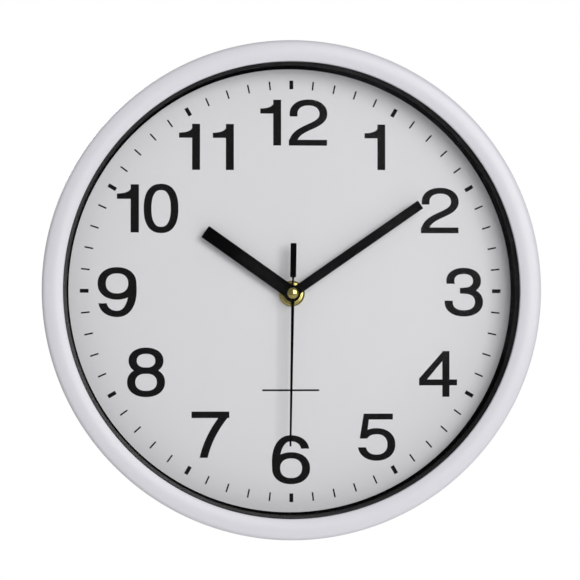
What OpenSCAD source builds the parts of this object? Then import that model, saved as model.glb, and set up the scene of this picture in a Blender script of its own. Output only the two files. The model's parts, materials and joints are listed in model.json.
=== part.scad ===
// Round quartz wall clock, drawn piece by piece.
// Each module draws its piece as if the clock lay on its back: X points to three o'clock,
// Y to twelve o'clock, and Z out of the dial, with Z = 0 on the wall. upright() stands it up,
// so in the finished model the dial faces -Y and +Z is up.

/* [Case] */
// Outer diameter of the case
case_d = 250; // [249:0.5:252]
// Depth from the wall to the crest of the rim
case_depth = 40; // [39.5:0.5:42]
// Width of the rim seen from the front
rim_w = 10.6; // [10.4:0.1:10.8]
// Thickness of the skirt at the wall
skirt_t = 2; // [1.6:0.1:2.4]
// Radius of the domed front of the rim
dome_r = 14; // [13:0.5:18]
// Thickness of the lens
lens_t = 2; // [1.5:0.1:2.2]
// Clear depth between the lens and the dial
hand_space = 14.7; // [14:0.1:15]

/* [Dial and hands] */
// How far the shaft sits to the right of the case centre
shaft_x = 0.5; // [-1:0.1:1]
// How far the shaft sits above the case centre
shaft_y = -1.6; // [-2:0.1:1]
// Hour hand length from the shaft
hour_hand_l = 54; // [45:1:60]
// Hour hand width
hour_hand_w = 6.8; // [5:0.1:7.5]
// Minute hand length from the shaft
minute_hand_l = 79; // [70:1:85]
// Minute hand width
minute_hand_w = 4.8; // [3.5:0.1:6]
// Second hand length from the shaft
second_hand_l = 77; // [70:1:85]
// Length of the second hand's tail
second_tail_l = 25.3; // [22:0.1:30]
// Hour shown, from 0 to 11
hour_shown = 10; // [0:1:11]
// Minutes shown
minutes_shown = 9.2; // [0:0.1:59.9]
// Seconds shown
seconds_shown = 30.15; // [0:0.05:59.95]
// The degrees by which the hour hand is pressed on ahead of its true place
hour_hand_lead = 0.7; // [-3:0.1:3]

/* [Movement] */
// Side of the square movement
movement_w = 56; // [56:0.1:57]
// Wall thickness of the movement case
movement_wall = 1.3; // [1.2:0.1:1.4]
// Outer diameter of the threaded sleeve
sleeve_d = 7.8; // [7.6:0.1:8]
// Diameter of the battery
battery_d = 14.2; // [13.8:0.1:14.4]
// Length of the battery with its button
battery_l = 50.5; // [49.5:0.1:50.6]
// Radial running clearance of shafts in bores
run_gap = 0.05; // [0.03:0.01:0.08]
// Play between meshing teeth, on each flank
tooth_gap = 0.03; // [0.02:0.005:0.04]

/* [Hidden] */
$fn = 96;
eps = 0.01;

// Radii of the case
case_r = case_d / 2;
opening_r = case_r - rim_w;
rim_mid = (case_r + opening_r) / 2;
skirt_taper = 1.2;
skirt_in = case_r - skirt_taper - skirt_t;
corner_r = 2.5;
edge_r = 0.5;
lip_t = 2.3;
post_r = 2.7;
post_ring = skirt_in - post_r + 0.1;
post_count = 6;
pack_r = post_ring - post_r - 0.3;
seat_rib_t = 1.2;
seat_rib_h = 3.3;
screw_r = 1.2;
screw_head_r = 2.4;
screw_head_h = 1.6;
screw_l = 12;
recess_share = 0.6;
recess_half = 0.3;
recess_depth = 0.9;

// Heights above the wall, from the lens down to the movement
dome_z = case_depth - dome_r;
edge_z = dome_z + sqrt(pow(dome_r - edge_r, 2) - pow(rim_mid - opening_r - edge_r, 2));
corner_z = dome_z + sqrt(pow(dome_r - corner_r, 2) - pow(case_r - rim_mid - corner_r, 2));
lens_front = edge_z - lip_t;
lens_back = lens_front - lens_t;
dial_front = lens_back - hand_space;
dial_t = 0.6;
plate_front = dial_front - dial_t;
plate_t = 2;
plate_back = plate_front - plate_t;
rubber_t = 0.8;
mv_front = plate_back - rubber_t;
mv_depth = mv_front - 0.6;
mv_back = mv_front - mv_depth;
mv_roof = mv_front - movement_wall;
mv_in = movement_w / 2 - movement_wall;

// Black ring between the lens and the dial
spacer_wall = 1.5;
spacer_bevel_w = 1.5;
spacer_bevel_h = 0.4;
spacer_flange_t = 2;
spacer_taper = 0.4;
spacer_in = opening_r - 0.2 - spacer_bevel_w;

// Hanging box on the back plate, and the steel plate with the keyhole that closes it
hang_y = 87.5;
hang_entry_r = 5;
hang_slot_r = 2.3;
hang_slot_l = 10.5;
hang_box_w = 23;
hang_box = [79, 109];
hang_wall = 2;
hanger_t = 1.2;
hanger_back = 3;
hanger_front = hanger_back + hanger_t;
hanger_ear_x = 15;
hanger_ear_y = (hang_box[0] + hang_box[1]) / 2;
hanger_ear_r = 3.5;
hanger_screw_r = 1;
hanger_boss_r = 2.6;
hanger_head_r = 2;
hanger_screw_l = 8;

// Ribs of the back plate
rib_t = 1.5;
ring_rib_r = 108;
rib_h = 4;
pocket_gap = 0.5;
pocket_h = 8;
radial_ribs = 12;

// Train: teeth, modules and centre distances
rotor_teeth = 10;
inter_teeth = 60;
inter_pinion_teeth = 12;
seconds_teeth = 60;
seconds_pinion_teeth = 8;
third_teeth = 60;
third_pinion_teeth = 8;
centre_teeth = 64;
cannon_teeth = 12;
minute_teeth = 36;
minute_pinion_teeth = 10;
hour_teeth = 40;
knob_teeth = 12;
fast_m = 0.25;
third_m = 0.3;
work_m = 0.4;
third_d = third_m * (seconds_pinion_teeth + third_teeth) / 2;
centre_m = 2 * third_d / (third_pinion_teeth + centre_teeth);
minute_d = work_m * (cannon_teeth + minute_teeth) / 2;
hour_m = 2 * minute_d / (minute_pinion_teeth + hour_teeth);
inter_d = fast_m * (inter_pinion_teeth + seconds_teeth) / 2;
rotor_d = fast_m * (rotor_teeth + inter_teeth) / 2;
knob_d = work_m * (minute_teeth + knob_teeth) / 2;
// Round windows in a wheel's web: distance from its centre, radius and count
fast_windows = [4.4, 1.7, 5];
third_windows = [5.2, 2.1, 5];
centre_windows = [5.6, 2.2, 6];
// Directions from each shaft to the next one
third_at = 180;
minute_at = 0;
inter_at = 80;
rotor_at = 150;
knob_at = 60;
third_xy = spoke(third_d, third_at);
minute_xy = spoke(minute_d, minute_at);
inter_xy = spoke(inter_d, inter_at);
rotor_xy = inter_xy + spoke(rotor_d, rotor_at);
knob_xy = minute_xy + spoke(knob_d, knob_at);

// Tooth heights, in modules: low teeth on wheels, tall teeth on pinions
pressure = 20;
wheel_add = 0.5;
wheel_ded = 1.25;
pinion_add = 1;
pinion_ded = 0.75;

// Levels of the train, counted down from the inside of the movement's front wall
wheel_t = 0.6;
motion_t = 1;
pinion_over = 0.2;
hour_z = mv_roof - 1.3;
minute_z = mv_roof - 2.7;
cannon_z = mv_roof - 2.9;
cannon_h = 1.3;
centre_z = mv_roof - 3.9;
centre_t = 0.7;
middle_z = mv_roof - 5;
middle_t = 0.7;
third_z = mv_roof - 6.3;
seconds_z = mv_roof - 7.7;
inter_z = mv_roof - 9.2;
bridge_z = mv_roof - 11;
bridge_t = 1.1;
bridge_top = bridge_z + bridge_t;
pivot_r = 0.3;
pivot_l = 0.8;
arbor_r = 0.7;
shake = 0.1;
third_post_r = 1.3;
knob_post_r = 1.6;
minute_post_r = 0.9;
seconds_hub_r = 0.9;
centre_hub_r = 2;
plate_x = [-25.5, 24.5];
plate_top_y = 16;
magnet_r = 2.8;
magnet_z = mv_roof - 7.9;
magnet_h = 2.6;

// Coaxial shafts at the centre
seconds_r = 0.5;
minute_pipe_r = 1.6;
hour_pipe_r = 2.5;
sleeve_r = sleeve_d / 2;
sleeve_flange_r = 5.5;
sleeve_flange_t = 0.7;
washer_t = 0.5;
rubber_r = 9;
fit_gap = 0.1;
washer_r = 6.3;
nut_r = 6.5;
nut_h = 2.4;
nut_chamfer_w = 1;
nut_chamfer_h = 0.8;
nut_step_h = 0.4;
nut_step_r = [4.7, 4.9];
nut_z = dial_front + washer_t;
sleeve_top = nut_z + nut_h + 0.7;
hand_step = 2.15;
hand_t = 0.4;
hour_pipe_top = sleeve_top + 2;
minute_pipe_top = hour_pipe_top + hand_step;
seconds_top = minute_pipe_top + 1.6;
pipe_show = 0.35;
hub_r = 4;
collar_t = 0.8;
collar_h = 0.9;
second_collar_r = 1.1;
second_root_w = 1.4;
second_tip_w = 0.7;
tail_neck_w = 1;
counterweight_w = 3;
counterweight_l = 17.3;
cap_r = 2.85;
cap_h = 1.4;
cap_dome_r = 3.6;

// Motor
coil_y = 22.3;
coil_z = mv_roof - 5.4;
coil_x = [-16.5, 4.5];
flange_w = 7.8;
flange_t = 0.8;
coil_r = 3.8;
core_w = 3;
core_t = 1.2;
core_x = [-21, 9];
bobbin_wall = 0.6;
stator_z = mv_roof - 7;
stator_t = 1;
stator_arm_w = 4;
stator_bar = [11.2, 15.3];
stator_top = 24.3;
stator_land_r = 4.4;
stator_hole_r = 3.2;
stator_head_r = 1.5;
stator_head_h = 0.8;
stator_screw_x = [core_x[0] + 2, core_x[1] - 2];

// Posts inside the movement case
pin_r = 0.8;
standoff_r = 1.5;
standoffs = [[-23.5, 12], [-23.5, -8.5], [22, -8.5], [22, 14]];
board_x = [12.5, 26.3];
board_y = [16.5, 26.3];
board_z = mv_roof - 6.9;
board_t = 0.8;
board_posts = [[14.5, 24.5], [24.5, 18.5]];
board_post_r = 1.2;
chip_xy = [18, 22];
chip_dome_r = 4.4;
chip_sink = 3;
crystal_xy = [23.6, 23];
crystal_r = 1;
crystal_l = 6;

// Battery bay
bay_wall = 1.1;
bay_y = [-movement_w / 2 + 1, -11.9];
gear_y = [bay_y[1] + bay_wall, mv_in];
bay_roof = mv_front - 0.7;
battery_y = (bay_y[0] + bay_y[1]) / 2;
battery_z = (mv_back + bay_roof) / 2;
button_l = 1;
button_r = 2.7;
battery_end = mv_in - 1;
battery_foot = battery_end - battery_l;
film_t = 0.15;
contact_t = 0.4;
contact_gap = 0.05;
contact_half = 5;
contact_z = [3, 13];
boss_r = 2.2;
leaf_z = [4, 12];
leaf_tip = 0.6;
strip_z = [6, 10];
return_z = [11.5, 14];
knob_r = 6.5;
knob_well_r = 7;
knob_z = mv_back + 0.2;
knob_h = 2.1;
cover_t = 1.5;
knob_notches = 20;
knob_notch_r = 0.6;
knob_shaft_r = 1.2;
knob_pivot_r = 0.6;

// A point at a distance and an angle from the origin
function spoke(d, a) = [d * cos(a), d * sin(a)];

// Points of an arc about c, from angle a0 to a1 in n steps
function arc(c, r, a0, a1, n) = [for (i = [0:n]) c + spoke(r, a0 + (a1 - a0) * i / n)];

// Angle, in degrees, by which an involute has unwound at radius r from its base circle
function unwound(r, base) = let (t = sqrt(max(0, pow(r / base, 2) - 1))) t * 180 / PI - atan(t);

// Half the angle of a tooth at radius r
function half_tooth(r, teeth, m) =
    let (pitch = m * teeth / 2, base = pitch * cos(pressure))
    90 / teeth + unwound(pitch, base) - unwound(max(r, base), base) - tooth_gap / pitch * 180 / PI;

// Radii at which one flank is drawn, from the root to the tip
function flank_radii(teeth, m, add, ded, steps) =
    let (pitch = m * teeth / 2, root = pitch - ded * m, tip = pitch + add * m)
    let (start = max(root, pitch * cos(pressure)))
    concat(root < start ? [root] : [], [for (i = [0:steps]) start + (tip - start) * i / steps]);

// Outline of a spur gear with one tooth centred on the X axis
function gear_outline(teeth, m, add, ded, steps) =
    let (radii = flank_radii(teeth, m, add, ded, steps), last = len(radii) - 1)
    [for (t = [0:teeth - 1]) for (i = [-last - 1:last])
        let (r = i < 0 ? radii[i + last + 1] : radii[last - i])
        spoke(r, t * 360 / teeth + (i < 0 ? -1 : 1) * half_tooth(r, teeth, m))];

// Turn of a gear that meshes with a wheel standing at angle at, when that wheel is turned by turn
function mesh_turn(at, turn, wheel_teeth, teeth) =
    at + 180 + 180 / teeth - (turn - at) * wheel_teeth / teeth;

// Stands a piece up against the wall
module upright() rotate([90, 0, 0]) children();

// Places a piece of the movement on the shaft's own centre
module on_shaft() upright() translate([shaft_x, shaft_y, 0]) children();

// Turns a hand clockwise from twelve
module clockwise(angle) rotate([0, 0, -angle]) children();

module disc(r, z0, z1) translate([0, 0, z0]) cylinder(r = r, h = z1 - z0);

module tube(outer, inner, z0, z1) difference() {
    disc(outer, z0, z1);
    disc(inner, z0 - eps, z1 + eps);
}

// A box between two corners given as ranges
module block(x, y, z) translate([x[0], y[0], z[0]]) cube([x[1] - x[0], y[1] - y[0], z[1] - z[0]]);

module at_posts() for (i = [0:post_count - 1]) rotate([0, 0, 30 + i * 360 / post_count])
    translate([post_ring, 0, 0]) children();

module gear_wheel(teeth, m, z0, z1) translate([0, 0, z0]) linear_extrude(height = z1 - z0)
    polygon(gear_outline(teeth, m, wheel_add, wheel_ded, 2));

module pinion(teeth, m, z0, z1) translate([0, 0, z0]) linear_extrude(height = z1 - z0)
    polygon(gear_outline(teeth, m, pinion_add, pinion_ded, 3));

// Cuts round windows in a wheel's web and leaves its spokes
module web_windows(windows, z0, z1) for (i = [0:windows[2] - 1])
    rotate([0, 0, (i + 0.5) * 360 / windows[2]]) translate([windows[0], 0, 0])
    disc(windows[1], z0 - eps, z1 + eps);

// ---- Case ----

module case_ring() upright() color("whitesmoke") {
    rotate_extrude($fn = 180) polygon(concat(
        [[skirt_in, 0], [skirt_in + skirt_t, 0]],
        arc([case_r - corner_r, corner_z], corner_r, 0, dome_join(), 6),
        arc([rim_mid, dome_z], dome_r, dome_join() + 1, edge_join() - 1, 10),
        arc([opening_r + edge_r, edge_z], edge_r, edge_join(), 180, 4),
        [[opening_r, lens_front], [skirt_in, lens_front]]
    ));
    seat_rib_in = post_ring - post_r;
    tube(seat_rib_in + seat_rib_t, seat_rib_in, lens_front - seat_rib_h, lens_front + 0.5, $fn = 180);
    difference() {
        at_posts() disc(post_r, plate_front, lens_front + 0.5, $fn = 32);
        at_posts() disc(screw_r + run_gap, plate_front - 1, plate_front + screw_l, $fn = 32);
    }
}

// Angles at which the rim's dome meets its outer corner and its inner edge
function dome_join() = atan2(corner_z - dome_z, case_r - corner_r - rim_mid);
function edge_join() = atan2(edge_z - dome_z, opening_r + edge_r - rim_mid);

module lens() upright() color([0.85, 0.92, 0.95, 0.3]) disc(pack_r, lens_back, lens_front, $fn = 180);

module spacer_ring() upright() color("black") rotate_extrude($fn = 180) polygon([
    [spacer_in - spacer_taper, dial_front],
    [pack_r, dial_front],
    [pack_r, dial_front + spacer_wall],
    [spacer_in + spacer_wall - spacer_taper, dial_front + spacer_wall],
    [spacer_in + spacer_wall, lens_back - spacer_flange_t],
    [pack_r, lens_back - spacer_flange_t],
    [pack_r, lens_back],
    [spacer_in + spacer_bevel_w, lens_back],
    [spacer_in, lens_back - spacer_bevel_h]
]);

module dial() upright() color("white") difference() {
    disc(pack_r, plate_front, dial_front, $fn = 180);
    translate([shaft_x, shaft_y, 0]) disc(sleeve_r + 0.2, plate_front - 1, dial_front + 1);
}

module back_plate() upright() color("gainsboro") difference() {
    union() {
        disc(skirt_in - 0.3, plate_back, plate_front, $fn = 180);
        tube(ring_rib_r + rib_t, ring_rib_r, plate_back - rib_h, plate_back + eps, $fn = 180);
        radial_ribs();
        pocket_wall();
        block([-hang_box_w / 2, hang_box_w / 2], hang_box, [hanger_front, plate_back + eps]);
        at_hanger_ears() disc(hanger_boss_r, hanger_front, plate_back + eps, $fn = 48);
    }
    nail_pocket();
    at_hanger_ears() disc(hanger_screw_r + run_gap, hanger_front - 1, plate_back - 2, $fn = 32);
    translate([shaft_x, shaft_y, 0]) disc(sleeve_r + 0.2, plate_back - 1, plate_front + 1);
    at_posts() disc(screw_r + 0.3, plate_back - 1, plate_front + 1, $fn = 32);
}

module radial_ribs() difference() {
    for (i = [0:radial_ribs - 1]) rotate([0, 0, i * 360 / radial_ribs])
        block(
            [movement_w / 2, ring_rib_r + eps],
            [-rib_t / 2, rib_t / 2],
            [plate_back - rib_h, plate_back + eps]
        );
    pocket_block(0, plate_back - rib_h - 1, plate_back + 1);
}

module pocket_block(grow, z0, z1) translate([shaft_x, shaft_y, 0]) {
    half = movement_w / 2 + pocket_gap + grow;
    block([-half, half], [-half, half], [z0, z1]);
}

module pocket_wall() difference() {
    pocket_block(rib_t, plate_back - pocket_h, plate_back + eps);
    pocket_block(0, plate_back - pocket_h - 1, plate_back + 1);
}

// Room for the head of the nail or screw in the wall
module nail_pocket() {
    half = hang_box_w / 2 - hang_wall;
    block([-half, half], hang_box + [hang_wall, -hang_wall], [hanger_front - 1, plate_back]);
}

module at_hanger_ears() for (side = [-1, 1]) translate([side * hanger_ear_x, hanger_ear_y, 0]) children();

module hanger_plate() upright() color("lightgray") difference() {
    union() {
        block([-hang_box_w / 2, hang_box_w / 2], hang_box, [hanger_back, hanger_front]);
        block(
            [-hanger_ear_x, hanger_ear_x],
            [hanger_ear_y - hanger_ear_r, hanger_ear_y + hanger_ear_r],
            [hanger_back, hanger_front]
        );
        at_hanger_ears() disc(hanger_ear_r, hanger_back, hanger_front, $fn = 64);
    }
    translate([0, hang_y, 0]) disc(hang_entry_r, hanger_back - 1, hanger_front + 1);
    block([-hang_slot_r, hang_slot_r], [hang_y, hang_y + hang_slot_l], [hanger_back - 1, hanger_front + 1]);
    translate([0, hang_y + hang_slot_l, 0]) disc(hang_slot_r, hanger_back - 1, hanger_front + 1);
    at_hanger_ears() disc(hanger_screw_r + 0.2, hanger_back - 1, hanger_front + 1, $fn = 32);
}

module hanger_screws() upright() color("silver") at_hanger_ears()
    pan_screw(hanger_screw_r, hanger_head_r, hanger_back, hanger_screw_l);

// Pan-head screw with a cross recess, its head behind the height z
module pan_screw(r, head_r, z, length) difference() {
    union() {
        disc(r, z, z + length, $fn = 32);
        disc(head_r, z - screw_head_h, z, $fn = 32);
    }
    for (turn = [0, 90]) rotate([0, 0, turn]) block(
        [-head_r * recess_share, head_r * recess_share],
        [-recess_half, recess_half],
        [z - screw_head_h - 1, z - screw_head_h + recess_depth]
    );
}

module case_screws() upright() color("silver") at_posts()
    pan_screw(screw_r, screw_head_r, plate_back, screw_l);

// ---- Movement case ----

module movement_case() on_shaft() color("dimgray") {
    difference() {
        rounded_block(movement_w, 2, mv_back, mv_front);
        block([-mv_in, mv_in], gear_y, [mv_back - 1, mv_roof]);
        block([-mv_in, mv_in], bay_y, [mv_back - 1, bay_roof]);
        block([mv_in - contact_t - 0.15, mv_in], [bay_y[1] - 1, gear_y[0] + 1], strip_z + [-0.2, 0.2]);
        block([-mv_in, -mv_in + contact_t + 0.15], [bay_y[1] - 1, gear_y[0] + 1], return_z + [-0.2, 0.2]);
        disc(sleeve_r + 0.02, mv_roof - 1, mv_front + 1);
        disc(sleeve_flange_r + 0.02, mv_roof - 1, mv_roof + sleeve_flange_t);
    }
    case_posts();
    for (side = [-1, 1]) cover_ledges(side);
}

module rounded_block(side, corner, z0, z1) translate([0, 0, z0]) linear_extrude(height = z1 - z0) union() {
    square([side - 2 * corner, side], center = true);
    square([side, side - 2 * corner], center = true);
    for (x = [-1, 1], y = [-1, 1]) translate([x, y] * (side / 2 - corner)) circle(r = corner, $fn = 48);
}

// Posts that carry the plates, the board, the stator, and the front ends of the shafts
module case_posts() {
    for (p = standoffs) translate(p) {
        disc(standoff_r, middle_z + middle_t, mv_roof + eps, $fn = 32);
        disc(pin_r, bridge_z - 0.2, mv_roof, $fn = 32);
    }
    for (p = board_posts) translate(p) disc(board_post_r, board_z + board_t, mv_roof + eps, $fn = 32);
    for (x = stator_screw_x) translate([x, coil_y, 0])
        tube(standoff_r, pin_r + 0.02, coil_z + core_t / 2, mv_roof + eps, $fn = 32);
    translate(third_xy)
        tube(third_post_r, pivot_r + run_gap, centre_z + centre_t + 0.6, mv_roof + eps, $fn = 32);
    translate(knob_xy)
        tube(knob_post_r, knob_pivot_r + run_gap, minute_z + motion_t + 0.4, mv_roof + eps, $fn = 32);
    translate(minute_xy) disc(minute_post_r, minute_z - 0.2, mv_roof + eps, $fn = 32);
}

// Small corner blocks on which the cover rests
module cover_ledges(side) for (y = [gear_y[0], mv_in - 2])
    block([side * (mv_in - 1) - 1, side * (mv_in - 1) + 1], [y, y + 2], [mv_back + cover_t, bridge_z - 0.2]);

module movement_cover() on_shaft() color("darkslategray") difference() {
    union() {
        block([-mv_in + 0.1, mv_in - 0.1], gear_y + [0.1, -0.1], [mv_back, mv_back + cover_t]);
        translate(knob_xy) disc(knob_well_r + 0.8, mv_back, bridge_z - 0.2);
    }
    translate(knob_xy) disc(knob_well_r, mv_back - 1, bridge_z + 1);
}

module middle_plate() on_shaft() color("ivory") difference() {
    union() {
        block(plate_x, [gear_y[0] + 0.4, plate_top_y], [middle_z, middle_z + middle_t]);
        for (p = standoffs) translate(p) disc(standoff_r, bridge_top, middle_z + eps, $fn = 32);
    }
    for (p = standoffs) translate(p) disc(pin_r + 0.02, bridge_top - 1, middle_z + middle_t + 1, $fn = 32);
    for (p = [inter_xy, rotor_xy]) translate(p)
        disc(pivot_r + run_gap, middle_z - 1, middle_z + middle_t + 1, $fn = 32);
    translate(third_xy) disc(arbor_r + 0.1, middle_z - 1, middle_z + middle_t + 1, $fn = 32);
    translate(knob_xy) disc(knob_shaft_r + run_gap, middle_z - 1, middle_z + middle_t + 1, $fn = 32);
    disc(seconds_r + run_gap, middle_z - 1, middle_z + middle_t + 1, $fn = 32);
}

module train_bridge() on_shaft() color("ivory") difference() {
    block(plate_x, [gear_y[0] + 0.4, plate_top_y], [bridge_z, bridge_top]);
    for (p = standoffs) translate(p) disc(pin_r + 0.02, bridge_z - 1, bridge_top + 1, $fn = 32);
    for (p = [[0, 0], third_xy, inter_xy, rotor_xy]) translate(p)
        disc(pivot_r + run_gap, bridge_z - 1, bridge_top + 1, $fn = 32);
    translate(knob_xy) disc(knob_shaft_r + run_gap, bridge_z - 1, bridge_top + 1, $fn = 32);
}

// ---- Sleeve, washers and nut ----

module threaded_sleeve() on_shaft() color("goldenrod") difference() {
    union() {
        disc(sleeve_r, mv_roof, sleeve_top);
        disc(sleeve_flange_r, mv_roof, mv_roof + sleeve_flange_t);
    }
    disc(hour_pipe_r + run_gap, mv_roof - 1, sleeve_top + 1);
}

module rubber_washer() on_shaft() color("black") tube(rubber_r, sleeve_r + fit_gap, mv_front, plate_back);

module brass_washer() on_shaft() color("gold") tube(washer_r, sleeve_r + fit_gap, dial_front, nut_z);

module sleeve_nut() on_shaft() color("gold") rotate_extrude() polygon([
    [sleeve_r + 0.02, nut_z],
    [nut_r, nut_z],
    [nut_r, nut_z + nut_h - nut_step_h - nut_chamfer_h],
    [nut_r - nut_chamfer_w, nut_z + nut_h - nut_step_h],
    [nut_step_r[1], nut_z + nut_h - nut_step_h],
    [nut_step_r[0], nut_z + nut_h],
    [sleeve_r + 0.02, nut_z + nut_h]
]);

// ---- Motor ----

// Turns a piece drawn round Z so that it lies along X on the coil's centre line
module along_coil() translate([0, coil_y, coil_z]) rotate([90, 0, 90]) children();

module coil_bobbin() on_shaft() color("ivory") along_coil() difference() {
    union() {
        for (x = [coil_x[0], coil_x[1] - flange_t]) translate([0, 0, x + flange_t / 2])
            cube([flange_w, flange_w, flange_t], center = true);
        disc(core_w / 2 + bobbin_wall + 0.2, coil_x[0], coil_x[1], $fn = 48);
    }
    block([-core_w / 2 - 0.05, core_w / 2 + 0.05], [-core_t / 2 - 0.05, core_t / 2 + 0.05], coil_x + [-1, 1]);
}

module coil_winding() on_shaft() color("chocolate") along_coil()
    tube(coil_r, core_w / 2 + bobbin_wall + 0.22, coil_x[0] + flange_t, coil_x[1] - flange_t, $fn = 64);

module coil_core() on_shaft() color("lightsteelblue") difference() {
    block(core_x, [coil_y - core_w / 2, coil_y + core_w / 2], [coil_z - core_t / 2, coil_z + core_t / 2]);
    for (x = stator_screw_x) translate([x, coil_y, 0]) disc(pin_r + 0.02, coil_z - 1, coil_z + 1, $fn = 32);
}

module stator() on_shaft() color("lightsteelblue") difference() {
    union() {
        block(core_x, stator_bar, [stator_z, stator_z + stator_t]);
        for (arm = [[core_x[0], core_x[0] + stator_arm_w], [core_x[1] - stator_arm_w, core_x[1]]])
            block(arm, [stator_bar[0], stator_top], [stator_z, stator_z + stator_t]);
        translate(rotor_xy) disc(stator_land_r, stator_z, stator_z + stator_t);
    }
    translate(rotor_xy) disc(stator_hole_r, stator_z - 1, stator_z + stator_t + 1);
    for (x = stator_screw_x) translate([x, coil_y, 0])
        disc(pin_r + 0.02, stator_z - 1, stator_z + stator_t + 1, $fn = 32);
}

module stator_screws() on_shaft() color("silver")
    for (x = stator_screw_x) translate([x, coil_y, 0]) difference() {
        union() {
            disc(pin_r, stator_z, coil_z + 2.5, $fn = 32);
            disc(stator_head_r, stator_z - stator_head_h, stator_z, $fn = 32);
        }
        block([-2, 2], [-0.2, 0.2], [stator_z - stator_head_h - 1, stator_z - stator_head_h + 0.3]);
    }

module circuit_board() on_shaft() color("darkgreen") block(board_x, board_y, [board_z, board_z + board_t]);

module clock_chip() on_shaft() color("black") translate(chip_xy) intersection() {
    translate([0, 0, board_z + chip_sink]) sphere(r = chip_dome_r, $fn = 64);
    disc(chip_dome_r, board_z - chip_sink, board_z, $fn = 64);
}

module quartz_crystal() on_shaft() color("silver")
    translate([crystal_xy[0], crystal_xy[1], board_z - crystal_r - 0.05]) rotate([90, 0, 0])
    disc(crystal_r, 0, crystal_l, $fn = 32);

// ---- Battery and contacts ----

module along_battery() translate([0, battery_y, battery_z]) rotate([0, 90, 0]) children();

module battery() on_shaft() color("silver") along_battery() {
    disc(battery_d / 2 - film_t, battery_foot, battery_end - button_l);
    disc(button_r, battery_end - button_l - eps, battery_end);
}

module battery_sleeve() on_shaft() color("seagreen") along_battery()
    tube(battery_d / 2, battery_d / 2 - film_t, battery_foot + 0.3, battery_end - button_l - 0.3);

module contact_positive() on_shaft() color("silver") {
    wall = [mv_in - contact_t, mv_in];
    block(wall, [battery_y - contact_half, battery_y + contact_half], contact_z);
    block(wall, [battery_y, board_y[0] + 4], strip_z);
    along_battery() disc(boss_r, battery_end + contact_gap, mv_in - contact_t + eps, $fn = 48);
}

module contact_negative() on_shaft() color("silver") {
    wall = [-mv_in, -mv_in + contact_t];
    block(wall, [battery_y - contact_half, battery_y + contact_half], [contact_z[0], return_z[1]]);
    block(wall, [battery_y, mv_in], return_z);
    block([-mv_in, board_x[0] + 4], [mv_in - contact_t, mv_in], return_z);
    leaf_spring();
}

// Bent leaf that presses on the battery's flat end
module leaf_spring() translate([0, battery_y, leaf_z[0]]) linear_extrude(height = leaf_z[1] - leaf_z[0])
    polygon([
    [-mv_in + contact_t, -contact_half],
    [battery_foot - contact_gap, -leaf_tip],
    [battery_foot - contact_gap, leaf_tip],
    [-mv_in + contact_t, contact_half],
    [-mv_in + contact_t, contact_half - 2 * contact_t],
    [battery_foot - contact_gap - contact_t, 0],
    [-mv_in + contact_t, 2 * contact_t - contact_half]
]);

// ---- Train ----

// Shaft with a thin pivot below and, where top_pivot is more than 0, one above
module arbor(r, z1, top_pivot) {
    disc(r, bridge_top + shake, z1, $fn = 32);
    disc(pivot_r, bridge_top - pivot_l, bridge_top + shake + eps, $fn = 32);
    if (top_pivot > 0) disc(pivot_r, z1 - eps, z1 + top_pivot, $fn = 32);
}

module rotor_magnet() on_shaft() color("dimgray") translate(rotor_xy)
    tube(magnet_r, arbor_r, magnet_z, magnet_z + magnet_h);

module rotor_pinion() on_shaft() color("orange") translate(rotor_xy) {
    arbor(arbor_r, middle_z - shake, 0.6);
    rotate([0, 0, mesh_turn(rotor_at, 0, inter_teeth, rotor_teeth)])
        pinion(rotor_teeth, fast_m, inter_z - pinion_over, inter_z + wheel_t + pinion_over);
}

module intermediate_wheel() on_shaft() color("white") translate(inter_xy) {
    arbor(arbor_r, middle_z - shake, 0.6);
    difference() {
        gear_wheel(inter_teeth, fast_m, inter_z, inter_z + wheel_t);
        web_windows(fast_windows, inter_z, inter_z + wheel_t);
    }
    rotate([0, 0, mesh_turn(inter_at, 0, seconds_teeth, inter_pinion_teeth)])
        pinion(inter_pinion_teeth, fast_m, seconds_z - pinion_over, seconds_z + wheel_t + pinion_over);
}

module seconds_wheel() on_shaft() color("white") difference() {
    union() {
        gear_wheel(seconds_teeth, fast_m, seconds_z, seconds_z + wheel_t);
        disc(seconds_hub_r, bridge_top + 0.4, third_z + wheel_t + pinion_over, $fn = 32);
        rotate([0, 0, mesh_turn(third_at + 180, 180 + third_at, third_teeth, seconds_pinion_teeth)])
            pinion(seconds_pinion_teeth, third_m, third_z - pinion_over, third_z + wheel_t + pinion_over);
    }
    disc(seconds_r, bridge_top, middle_z, $fn = 32);
    web_windows(fast_windows, seconds_z, seconds_z + wheel_t);
}

module seconds_shaft() on_shaft() color("silver") {
    disc(seconds_r, bridge_top + shake, seconds_top, $fn = 32);
    disc(pivot_r, bridge_top - pivot_l, bridge_top + shake + eps, $fn = 32);
}

module third_wheel() on_shaft() color("white") translate(third_xy) {
    arbor(arbor_r, centre_z + centre_t + 0.5, 0.9);
    difference() {
        gear_wheel(third_teeth, third_m, third_z, third_z + wheel_t);
        web_windows(third_windows, third_z, third_z + wheel_t);
    }
    rotate([0, 0, mesh_turn(third_at, 0, centre_teeth, third_pinion_teeth)])
        pinion(third_pinion_teeth, centre_m, centre_z - 0.15, centre_z + centre_t + 0.25);
}

module centre_wheel() on_shaft() color("orange") difference() {
    union() {
        gear_wheel(centre_teeth, centre_m, centre_z, centre_z + centre_t);
        disc(minute_pipe_r, middle_z + middle_t + shake, minute_pipe_top);
        disc(centre_hub_r, middle_z + middle_t + shake, cannon_z + eps);
        pinion(cannon_teeth, work_m, cannon_z, cannon_z + cannon_h);
    }
    disc(seconds_r + run_gap, middle_z, minute_pipe_top + 1, $fn = 48);
    web_windows(centre_windows, centre_z, centre_z + centre_t);
}

// Turn that lets the minute wheel mesh with the cannon pinion, whose tooth points at angle 0
minute_turn = mesh_turn(minute_at, 0, cannon_teeth, minute_teeth);

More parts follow.
